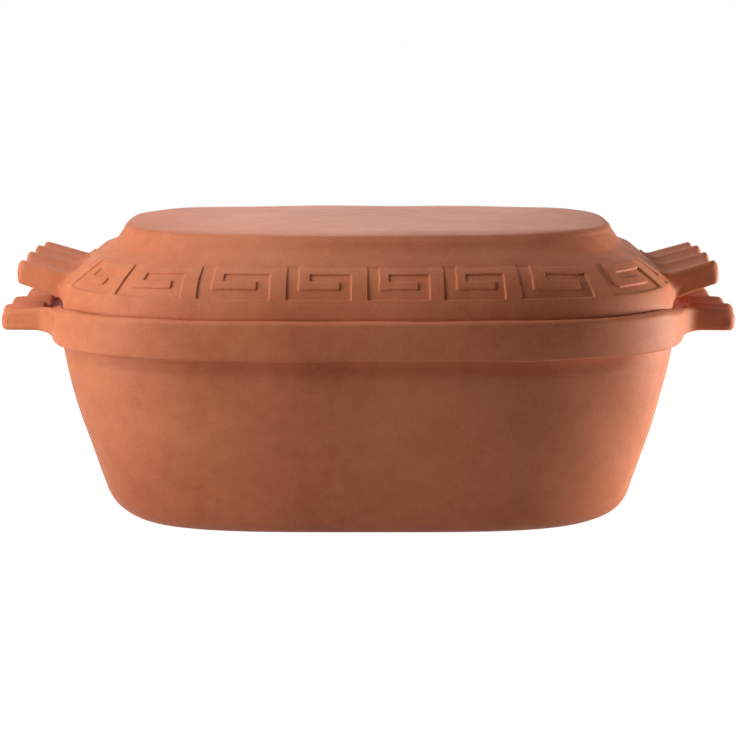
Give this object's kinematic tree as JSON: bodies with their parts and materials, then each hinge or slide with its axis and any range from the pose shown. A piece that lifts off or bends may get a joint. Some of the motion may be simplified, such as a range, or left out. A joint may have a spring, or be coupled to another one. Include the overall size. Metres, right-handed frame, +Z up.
{
  "type": "clay roaster",
  "caption": "Deep oblong unglazed clay roaster with ridged end handles and a loose domed lid carrying a meander band round a raised flat-topped crown.",
  "frame": {"origin": "bottom centre of the pot's flat foot", "axes": "+X along the length towards the right-hand handles, -Y towards the front, +Z up"},
  "size_m": [0.429, 0.234, 0.1678],
  "materials": {
    "pot_clay": "unglazed fired terracotta, matt and slightly grainy",
    "lid_clay": "unglazed fired terracotta, matt and slightly grainy"
  },
  "bodies": {
    "pot": {"roaster_pot": "pot_clay"},
    "lid": {"roaster_lid": "lid_clay"}
  },
  "joints": [
    {"name": "lid_lift", "type": "slide", "parent": "pot", "child": "lid", "axis": [0, 0, 1], "range_m": [0, 0.12]}
  ]
}
